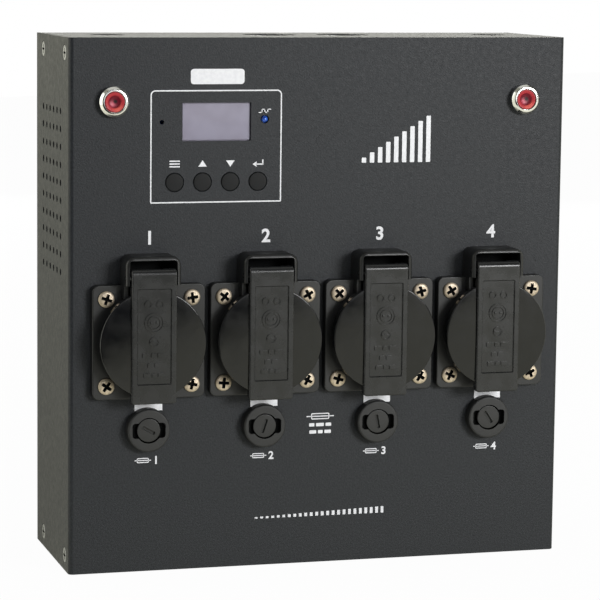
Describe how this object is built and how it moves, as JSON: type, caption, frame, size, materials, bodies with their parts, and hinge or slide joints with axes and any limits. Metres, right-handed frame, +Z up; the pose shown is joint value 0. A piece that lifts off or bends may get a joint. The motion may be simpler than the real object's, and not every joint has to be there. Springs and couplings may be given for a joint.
{
  "type": "dimmer pack",
  "caption": "Steel dimmer pack with lidded mains sockets, fuse holders, display, buttons and supply lamps.",
  "frame": {"origin": "middle of the case's underside, on the face it stands on", "axes": "+X to the right seen from the front, +Y to the back, +Z up"},
  "size_m": [0.226, 0.0875, 0.2335],
  "materials": {
    "powder_coat": "satin, finely textured",
    "socket_plastic": "satin",
    "lid_plastic": "gloss",
    "insulator": "matt",
    "nickel": "nickel plated",
    "spring_steel": "drawn wire",
    "fuse_plastic": "satin",
    "fuse_glass": "clear tube with nickel ends",
    "button_plastic": "matt",
    "board_laminate": "solder mask",
    "display_filter": "gloss",
    "display_body": "matt",
    "blue_lens": "gloss",
    "chrome": "polished",
    "red_lens": "gloss",
    "aluminium": "extruded",
    "iron_core": "varnished laminations",
    "terminal_nylon": "matt",
    "brass": "turned",
    "control_plastic": "satin"
  },
  "bodies": {
    "root": {"front_cover": "powder_coat", "chassis": "powder_coat", "socket_1_housing": "socket_plastic", "socket_1_insert": "insulator", "socket_1_earth_clip": "nickel", "socket_1_hinge_pin": "spring_steel", "socket_1_lid_spring": "spring_steel", "fuse_1_holder": "fuse_plastic", "socket_2_housing": "socket_plastic", "socket_2_insert": "insulator", "socket_2_earth_clip": "nickel", "socket_2_hinge_pin": "spring_steel", "socket_2_lid_spring": "spring_steel", "fuse_2_holder": "fuse_plastic", "socket_3_housing": "socket_plastic", "socket_3_insert": "insulator", "socket_3_earth_clip": "nickel", "socket_3_hinge_pin": "spring_steel", "socket_3_lid_spring": "spring_steel", "fuse_3_holder": "fuse_plastic", "socket_4_housing": "socket_plastic", "socket_4_insert": "insulator", "socket_4_earth_clip": "nickel", "socket_4_hinge_pin": "spring_steel", "socket_4_lid_spring": "spring_steel", "fuse_4_holder": "fuse_plastic", "control_board": "board_laminate", "display_window": "display_filter", "display_module": "display_body", "status_led": "blue_lens", "left_lamp_bezel": "chrome", "left_lamp_lens": "red_lens", "right_lamp_bezel": "chrome", "right_lamp_lens": "red_lens", "dimmer_board": "board_laminate", "heat_sink": "aluminium", "power_transformer": "iron_core", "left_mains_terminal": "terminal_nylon", "right_mains_terminal": "terminal_nylon", "earth_stud": "brass", "control_input_socket": "control_plastic", "control_output_socket": "control_plastic", "left_cable_bushing": "control_plastic", "right_cable_bushing": "control_plastic"},
    "lid_1": {"socket_1_lid": "lid_plastic"},
    "fuse_link_1": {"fuse_1_link": "fuse_glass"},
    "fuse_cap_1": {"fuse_1_cap": "fuse_plastic"},
    "lid_2": {"socket_2_lid": "lid_plastic"},
    "fuse_link_2": {"fuse_2_link": "fuse_glass"},
    "fuse_cap_2": {"fuse_2_cap": "fuse_plastic"},
    "lid_3": {"socket_3_lid": "lid_plastic"},
    "fuse_link_3": {"fuse_3_link": "fuse_glass"},
    "fuse_cap_3": {"fuse_3_cap": "fuse_plastic"},
    "lid_4": {"socket_4_lid": "lid_plastic"},
    "fuse_link_4": {"fuse_4_link": "fuse_glass"},
    "fuse_cap_4": {"fuse_4_cap": "fuse_plastic"},
    "menu_button": {"menu_button": "button_plastic"},
    "up_button": {"up_button": "button_plastic"},
    "down_button": {"down_button": "button_plastic"},
    "enter_button": {"enter_button": "button_plastic"}
  },
  "joints": [
    {"name": "lid_1_hinge", "type": "hinge", "parent": "root", "child": "lid_1", "pos_m": [-0.07845, -0.0473, 0.13099], "axis": [-1, 0, 0], "range_deg": [0, 110], "stiffness_Nm_per_rad": 0.01, "springref_deg": -28.65},
    {"name": "fuse_1_slide", "type": "slide", "parent": "root", "child": "fuse_link_1", "axis": [0, -1, 0], "range_m": [0, 0.036]},
    {"name": "fuse_1_cap_turn", "type": "hinge", "parent": "fuse_link_1", "child": "fuse_cap_1", "pos_m": [-0.07845, -0.0365, 0.06339], "axis": [0, -1, 0], "range_deg": [0, 90]},
    {"name": "lid_2_hinge", "type": "hinge", "parent": "root", "child": "lid_2", "pos_m": [-0.02615, -0.0473, 0.13099], "axis": [-1, 0, 0], "range_deg": [0, 110], "stiffness_Nm_per_rad": 0.01, "springref_deg": -28.65},
    {"name": "fuse_2_slide", "type": "slide", "parent": "root", "child": "fuse_link_2", "axis": [0, -1, 0], "range_m": [0, 0.036]},
    {"name": "fuse_2_cap_turn", "type": "hinge", "parent": "fuse_link_2", "child": "fuse_cap_2", "pos_m": [-0.02615, -0.0365, 0.06339], "axis": [0, -1, 0], "range_deg": [0, 90]},
    {"name": "lid_3_hinge", "type": "hinge", "parent": "root", "child": "lid_3", "pos_m": [0.02615, -0.0473, 0.13099], "axis": [-1, 0, 0], "range_deg": [0, 110], "stiffness_Nm_per_rad": 0.01, "springref_deg": -28.65},
    {"name": "fuse_3_slide", "type": "slide", "parent": "root", "child": "fuse_link_3", "axis": [0, -1, 0], "range_m": [0, 0.036]},
    {"name": "fuse_3_cap_turn", "type": "hinge", "parent": "fuse_link_3", "child": "fuse_cap_3", "pos_m": [0.02615, -0.0365, 0.06339], "axis": [0, -1, 0], "range_deg": [0, 90]},
    {"name": "lid_4_hinge", "type": "hinge", "parent": "root", "child": "lid_4", "pos_m": [0.07845, -0.0473, 0.13099], "axis": [-1, 0, 0], "range_deg": [0, 110], "stiffness_Nm_per_rad": 0.01, "springref_deg": -28.65},
    {"name": "fuse_4_slide", "type": "slide", "parent": "root", "child": "fuse_link_4", "axis": [0, -1, 0], "range_m": [0, 0.036]},
    {"name": "fuse_4_cap_turn", "type": "hinge", "parent": "fuse_link_4", "child": "fuse_cap_4", "pos_m": [0.07845, -0.0365, 0.06339], "axis": [0, -1, 0], "range_deg": [0, 90]},
    {"name": "menu_button_press", "type": "slide", "parent": "root", "child": "menu_button", "axis": [0, 1, 0], "range_m": [0, 0.0005], "stiffness_N_per_m": 300, "springref_m": -0.001},
    {"name": "up_button_press", "type": "slide", "parent": "root", "child": "up_button", "axis": [0, 1, 0], "range_m": [0, 0.0005], "stiffness_N_per_m": 300, "springref_m": -0.001},
    {"name": "down_button_press", "type": "slide", "parent": "root", "child": "down_button", "axis": [0, 1, 0], "range_m": [0, 0.0005], "stiffness_N_per_m": 300, "springref_m": -0.001},
    {"name": "enter_button_press", "type": "slide", "parent": "root", "child": "enter_button", "axis": [0, 1, 0], "range_m": [0, 0.0005], "stiffness_N_per_m": 300, "springref_m": -0.001}
  ]
}
